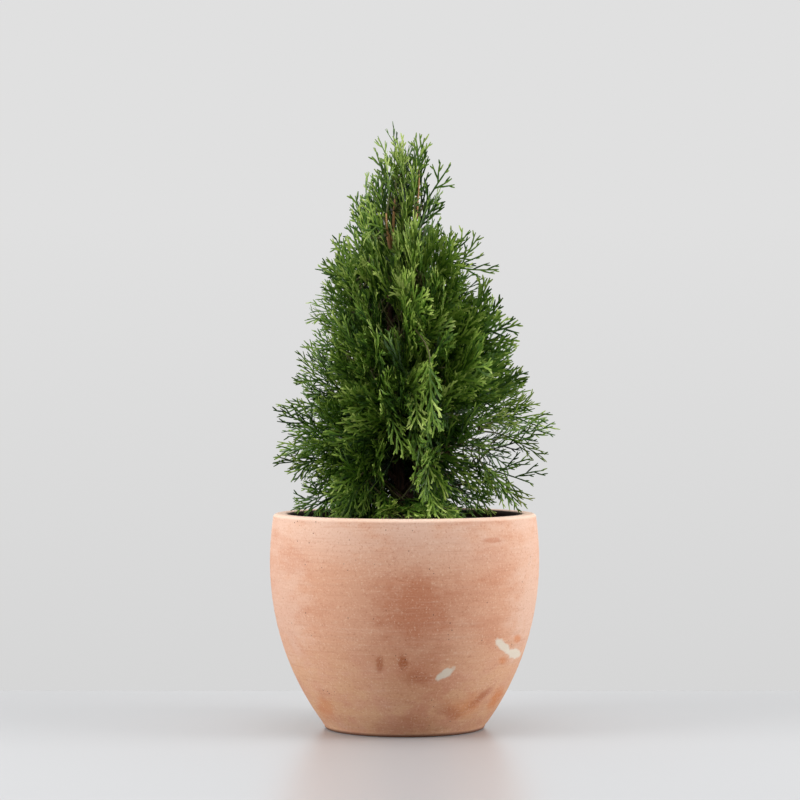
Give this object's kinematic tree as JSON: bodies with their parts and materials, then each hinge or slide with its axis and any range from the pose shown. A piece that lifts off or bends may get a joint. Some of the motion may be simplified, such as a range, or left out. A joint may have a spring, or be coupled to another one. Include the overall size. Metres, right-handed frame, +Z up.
{
  "type": "potted arborvitae",
  "caption": "Young cone-shaped arborvitae with flat sprays of scale leaves on a single trunk, planted in a round-bellied plain terracotta pot filled with soil.",
  "frame": {"origin": "middle of the pot's flat underside, on the surface it stands on", "axes": "+Z up along the pot axis, -Y towards the viewer of the picture, +X to the right"},
  "size_m": [0.2041, 0.2006, 0.4482],
  "materials": {
    "terracotta": "unglazed fired clay, matte, with rusty blotches and lime marks",
    "potting_soil": "moist dark potting soil with bark crumbs",
    "bark": "thin reddish-brown bark that peels in upright strips",
    "scale_leaf": "overlapping green scale leaves with a slight wax sheen, lighter at the tips"
  },
  "bodies": {
    "root": {"bough_01": "bark", "bough_02": "bark", "bough_03": "bark", "bough_04": "bark", "bough_05": "bark", "bough_06": "bark", "bough_07": "bark", "bough_08": "bark", "bough_09": "bark", "bough_10": "bark", "bough_11": "bark", "bough_12": "bark", "bough_13": "bark", "bough_14": "bark", "bough_15": "bark", "bough_16": "bark", "bough_17": "bark", "bough_18": "bark", "bough_19": "bark", "bough_20": "bark", "bough_21": "bark", "bough_22": "bark", "bough_23": "bark", "bough_24": "bark", "bough_25": "bark", "bough_26": "bark", "bough_second_leader": "bark", "foliage_01": "scale_leaf", "foliage_02": "scale_leaf", "foliage_03": "scale_leaf", "foliage_04": "scale_leaf", "foliage_05": "scale_leaf", "foliage_06": "scale_leaf", "foliage_07": "scale_leaf", "foliage_08": "scale_leaf", "foliage_09": "scale_leaf", "foliage_10": "scale_leaf", "foliage_11": "scale_leaf", "foliage_12": "scale_leaf", "foliage_13": "scale_leaf", "foliage_14": "scale_leaf", "foliage_15": "scale_leaf", "foliage_16": "scale_leaf", "foliage_17": "scale_leaf", "foliage_18": "scale_leaf", "foliage_19": "scale_leaf", "foliage_20": "scale_leaf", "foliage_21": "scale_leaf", "foliage_22": "scale_leaf", "foliage_23": "scale_leaf", "foliage_24": "scale_leaf", "foliage_25": "scale_leaf", "foliage_26": "scale_leaf", "foliage_leader": "scale_leaf", "foliage_second_leader": "scale_leaf", "pot": "terracotta", "soil": "potting_soil", "trunk": "bark"}
  },
  "joints": []
}
